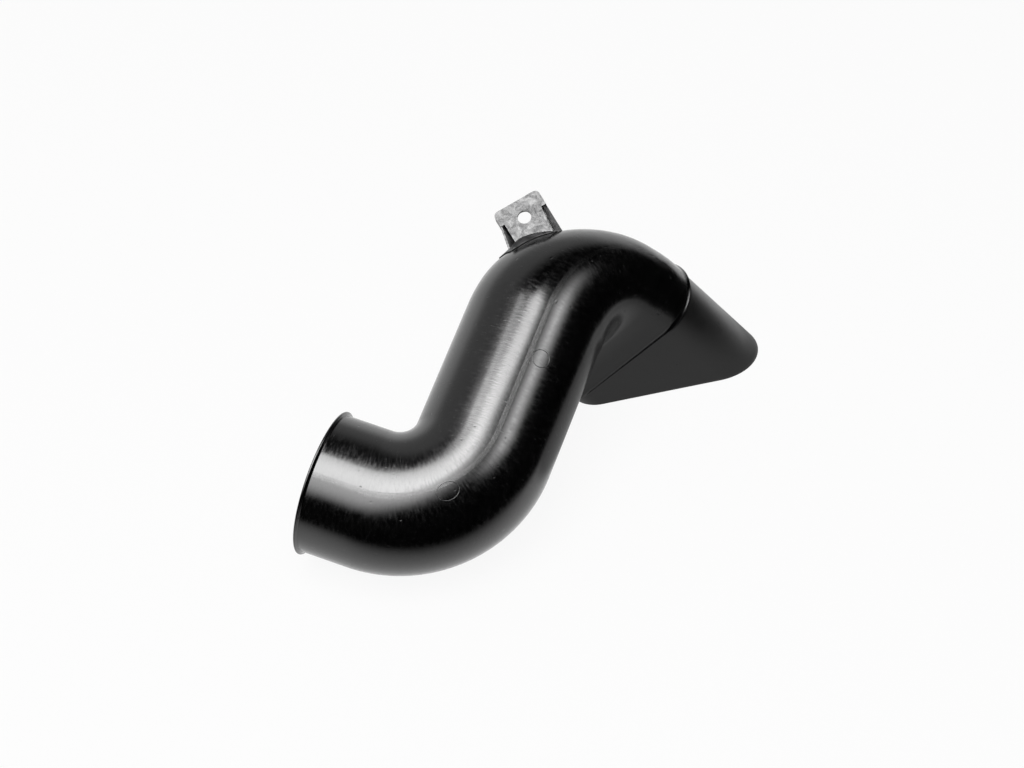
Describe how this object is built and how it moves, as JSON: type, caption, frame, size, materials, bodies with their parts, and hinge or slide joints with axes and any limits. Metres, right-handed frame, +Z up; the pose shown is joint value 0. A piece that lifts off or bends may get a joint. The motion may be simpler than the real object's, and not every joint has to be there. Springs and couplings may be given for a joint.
{
  "type": "air outlet duct",
  "caption": "Moulded plastic air duct: round lipped inlet, S-shaped round run, elbow with a bolt tab, changing to a flat-sided end with a slanted outlet spout.",
  "frame": {"origin": "centre of the inlet's mouth, on the sleeve's axis", "axes": "+X is the level direction in which air enters the inlet, +Z is up as the duct lies at rest, and +Y points along the middle run towards the elbow"},
  "size_m": [0.1839, 0.2724, 0.1148],
  "materials": {
    "duct_black": "semi-gloss moulded black, lightly scuffed",
    "spout_black": "satin moulded black"
  },
  "bodies": {
    "root": {"duct_body": "duct_black", "outlet_spout": "spout_black"}
  },
  "joints": []
}
